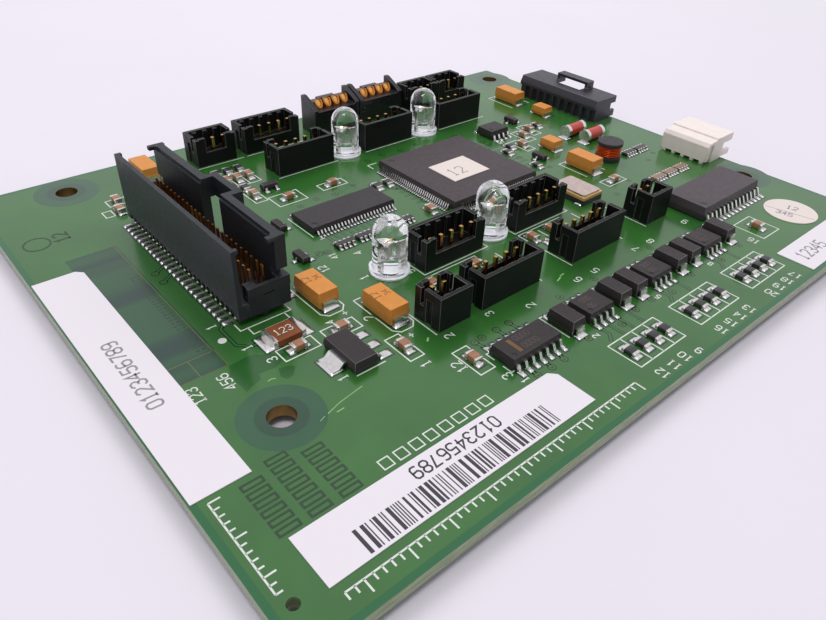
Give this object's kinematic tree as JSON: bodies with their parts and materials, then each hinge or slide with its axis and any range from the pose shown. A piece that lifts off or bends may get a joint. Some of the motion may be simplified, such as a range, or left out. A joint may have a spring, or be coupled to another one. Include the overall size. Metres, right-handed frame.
{
  "type": "printed circuit board",
  "caption": "Populated circuit board with a tall shrouded connector, windowed pin headers, clear lamps, side-entry connectors and surface-mount chips.",
  "frame": {"origin": "centre of the four mounting holes, on the board's component face", "axes": "+X along the board's front edge, towards the side-entry connectors; +Y from the front edge to the far edge; +Z out of the component face"},
  "size_m": [0.1194, 0.0945, 0.0138],
  "materials": {
    "laminate": "green solder mask over glass-fibre laminate, glossy",
    "bright_plating": "tin-plated copper",
    "solder": "bright solder",
    "tall_housing": "blue-black moulded plastic, fine texture",
    "contact_gold": "gold-plated contact",
    "header_black": "black moulded plastic",
    "pin_plating": "tin over brass pin",
    "socket_black": "black moulded plastic",
    "side_housing": "grey-black moulded plastic",
    "power_white": "off-white nylon",
    "power_pin_tin": "tin-plated pin",
    "clear_lens": "clear epoxy",
    "lamp_metal": "tin-plated leadframe",
    "processor_mould": "dark grey epoxy moulding, satin",
    "lead_tin": "tin-plated lead",
    "memory_mould": "dark grey epoxy moulding",
    "chip_mould": "dark grey epoxy moulding",
    "driver_mould": "dark grey epoxy moulding, satin",
    "tantalum_yellow": "amber epoxy moulding",
    "ceramic_brown": "brown ceramic",
    "resistor_black": "dark glaze",
    "end_tin": "tin-plated end",
    "fuse_brown": "brown laminate",
    "oscillator_ceramic": "dark ceramic",
    "oscillator_metal": "gold-plated lid",
    "coil_ferrite": "black ferrite",
    "coil_wire": "red enamelled copper wire",
    "glass_red": "red glass sleeve",
    "cap_silver": "tin-plated cap",
    "label_paper": "matt white label"
  },
  "bodies": {
    "root": {"array_bodies": "resistor_black", "board": "laminate", "ceramic_bodies": "ceramic_brown", "chip_end_caps": "end_tin", "coil_core": "coil_ferrite", "coil_winding": "coil_wire", "driver_chip_bodies": "chip_mould", "glass_diode_bodies": "glass_red", "glass_diode_caps": "cap_silver", "header_far_a": "header_black", "header_far_b": "header_black", "header_far_c": "header_black", "header_far_d": "header_black", "header_front_a": "header_black", "header_front_b": "header_black", "header_front_c": "header_black", "header_front_d": "header_black", "header_pins": "pin_plating", "header_second_a": "header_black", "header_second_b": "header_black", "header_third_a": "header_black", "header_third_b": "header_black", "header_third_c": "header_black", "hole_plating": "bright_plating", "lamp_leadframes": "lamp_metal", "lamp_lens_1": "clear_lens", "lamp_lens_2": "clear_lens", "lamp_lens_3": "clear_lens", "lamp_lens_4": "clear_lens", "logic_chip_body": "chip_mould", "memory_body": "memory_mould", "memory_leads": "lead_tin", "oscillator_base": "oscillator_ceramic", "oscillator_lid": "oscillator_metal", "paper_labels": "label_paper", "power_connector_housing": "power_white", "power_connector_pins": "power_pin_tin", "power_diode_bodies": "chip_mould", "power_diode_leads": "lead_tin", "processor_body": "processor_mould", "processor_leads": "lead_tin", "regulator_body": "chip_mould", "regulator_leads": "lead_tin", "resettable_fuse": "fuse_brown", "resistor_bodies": "resistor_black", "round_socket_contacts": "contact_gold", "round_socket_left": "socket_black", "round_socket_right": "socket_black", "side_connector_contacts": "contact_gold", "side_connector_housing": "side_housing", "small_chip_leads": "lead_tin", "solder": "solder", "tall_connector_contacts": "contact_gold", "tall_connector_housing": "tall_housing", "tantalum_bodies": "tantalum_yellow", "tantalum_terminals": "lead_tin", "transistor_bodies": "chip_mould", "wide_driver_body": "driver_mould", "wide_driver_leads": "lead_tin"}
  },
  "joints": []
}
